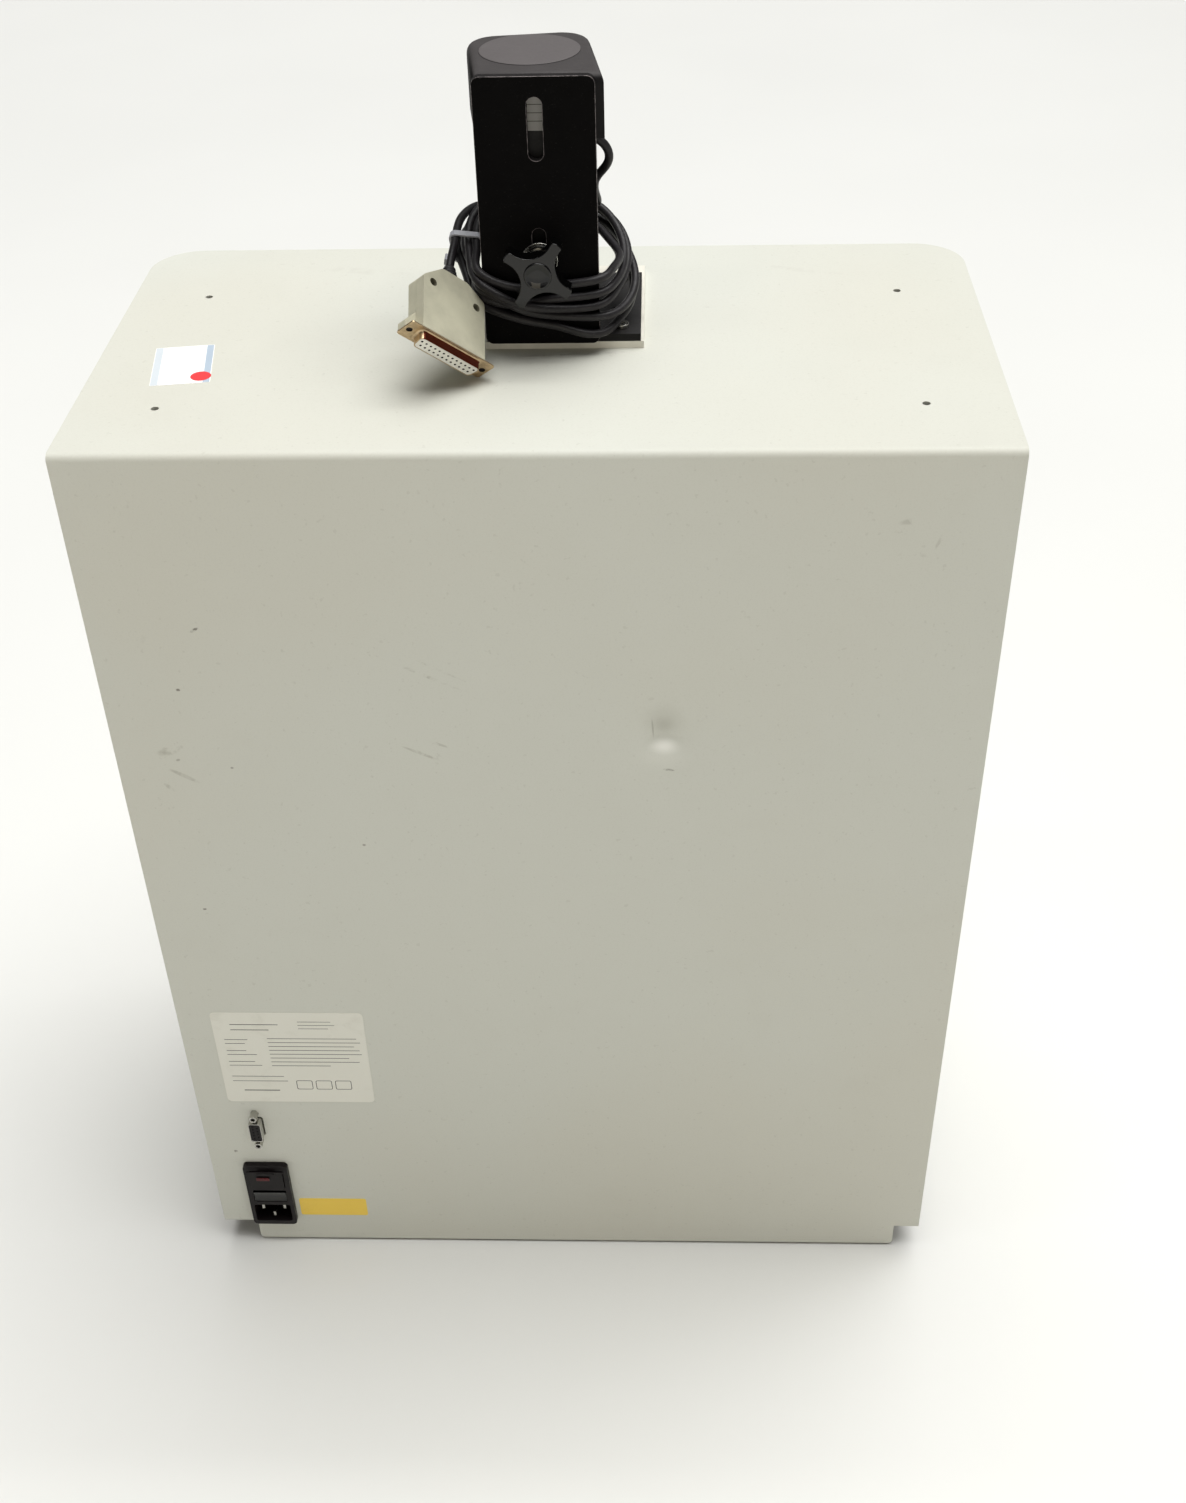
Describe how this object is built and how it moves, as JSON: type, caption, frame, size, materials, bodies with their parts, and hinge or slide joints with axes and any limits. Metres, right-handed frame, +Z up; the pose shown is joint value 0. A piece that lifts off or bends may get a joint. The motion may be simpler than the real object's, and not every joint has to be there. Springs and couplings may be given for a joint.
{
  "type": "gel documentation system",
  "caption": "Light-tight gel imaging cabinet with hinged door, transilluminator drawer, filter wheel, rear mains inlet and a camera on a slotted stand with its coiled lead.",
  "frame": {"origin": "on the floor, in the middle of the footprint of the object without its loose lead", "axes": "+X to the right when the rear panel is faced, +Y towards the door side, +Z up"},
  "size_m": [0.457, 0.292, 0.7252],
  "materials": {
    "casing_paint": "fine satin texture",
    "black_metal": "satin black",
    "lining_black": "matte black",
    "zinc_steel": "zinc plated",
    "panel_grey": "satin",
    "rubber_black": "matte",
    "plastic_black": "moulded",
    "plastic_gloss": "glossy moulded",
    "plastic_red": "translucent look",
    "plastic_beige": "moulded",
    "plastic_white": "moulded",
    "label_light": "printed film, plain",
    "brass": "chromated",
    "nickel": "satin nickel",
    "aluminium": "satin",
    "amber_glass": "polished",
    "uv_glass": "polished",
    "tube_glass": "frosted",
    "filter_glass": "polished",
    "hood_grey": "satin",
    "transil_blue": "hammer"
  },
  "bodies": {
    "cabinet": {"casing_wrap": "casing_paint", "top_rear_panel": "casing_paint", "base_pan": "zinc_steel", "rubber_feet": "rubber_black", "drawer_shelf": "zinc_steel", "lamp_housings": "lining_black", "lamp_tubes": "tube_glass", "power_supply": "zinc_steel", "lamp_ballasts": "lining_black", "control_panel": "panel_grey", "switch_bezels": "plastic_black", "door_magnet": "zinc_steel", "hinge_frame_leaves": "zinc_steel", "hinge_pins": "nickel", "drawer_rails": "zinc_steel", "wheel_spindle": "aluminium", "inlet_housing": "plastic_black", "inlet_pins": "nickel", "serial_shell": "nickel", "serial_insulator": "plastic_black", "serial_jackscrews": "nickel", "plain_labels": "label_light", "stand_shim": "plastic_white", "stand_base_plate": "black_metal", "stand_upright": "black_metal", "stand_screws": "nickel", "lens_collar": "lining_black"},
    "door": {"door_shell": "casing_paint", "door_inner_pan": "lining_black", "door_gasket": "rubber_black", "hinge_door_leaves": "zinc_steel", "door_handle": "plastic_black", "window_glass": "amber_glass"},
    "drawer": {"drawer_front": "casing_paint", "drawer_tray": "zinc_steel", "transilluminator_case": "transil_blue", "uv_tubes": "tube_glass", "uv_reflector": "aluminium", "uv_filter_glass": "uv_glass"},
    "power_switch": {"power_rocker": "plastic_red"},
    "uv_switch": {"uv_rocker": "plastic_gloss"},
    "white_switch": {"white_rocker": "plastic_gloss"},
    "filter_selector": {"filter_wheel": "black_metal", "wheel_filters": "filter_glass"},
    "fuse_holder": {"fuse_drawer": "plastic_black"},
    "mains_switch": {"inlet_rocker": "plastic_gloss"},
    "camera_head": {"camera_body": "black_metal", "camera_hood": "hood_grey", "camera_label": "label_light", "lens_barrel": "black_metal", "clamp_washer": "nickel", "lead_exit": "rubber_black", "cable_coil": "rubber_black", "cable_tie": "plastic_white", "lead_tail": "rubber_black", "plug_backshell": "plastic_beige", "plug_shell": "brass", "plug_insulator": "plastic_white"},
    "knob": {"clamp_knob": "plastic_gloss"},
    "focus": {"focus_ring": "black_metal"}
  },
  "joints": [
    {"name": "door_hinge", "type": "hinge", "parent": "cabinet", "child": "door", "pos_m": [-0.196, 0.114, 0.378], "axis": [0, 0, 1], "range_deg": [0, 110]},
    {"name": "drawer_slide", "type": "slide", "parent": "cabinet", "child": "drawer", "axis": [0, 1, 0], "range_m": [0, 0.15]},
    {"name": "power_switch_rock", "type": "hinge", "parent": "cabinet", "child": "power_switch", "pos_m": [-0.12, 0.1075, 0.049], "axis": [1, 0, 0], "range_deg": [-14, 0]},
    {"name": "uv_switch_rock", "type": "hinge", "parent": "cabinet", "child": "uv_switch", "pos_m": [-0.084, 0.1075, 0.049], "axis": [1, 0, 0], "range_deg": [-14, 0]},
    {"name": "white_switch_rock", "type": "hinge", "parent": "cabinet", "child": "white_switch", "pos_m": [-0.048, 0.1075, 0.049], "axis": [1, 0, 0], "range_deg": [-14, 0]},
    {"name": "filter_wheel_spin", "type": "hinge", "parent": "cabinet", "child": "filter_selector", "pos_m": [0.06, -0.002, 0.562], "axis": [0, 0, 1], "continuous": true},
    {"name": "fuse_drawer_slide", "type": "slide", "parent": "cabinet", "child": "fuse_holder", "axis": [0, -1, 0], "range_m": [0, 0.012]},
    {"name": "mains_switch_rock", "type": "hinge", "parent": "cabinet", "child": "mains_switch", "pos_m": [-0.1937, -0.1394, 0.0493], "axis": [1, 0, 0], "range_deg": [-12, 0]},
    {"name": "camera_slide", "type": "slide", "parent": "cabinet", "child": "camera_head", "axis": [0, 0, 1], "range_m": [0, 0.012]},
    {"name": "clamp_knob_turn", "type": "hinge", "parent": "camera_head", "child": "knob", "pos_m": [0, -0.05, 0.6365], "axis": [0, 1, 0], "range_deg": [0, 360]},
    {"name": "focus_turn", "type": "hinge", "parent": "camera_head", "child": "focus", "pos_m": [0, -0.002, 0.608], "axis": [0, 0, 1], "range_deg": [0, 120]}
  ]
}
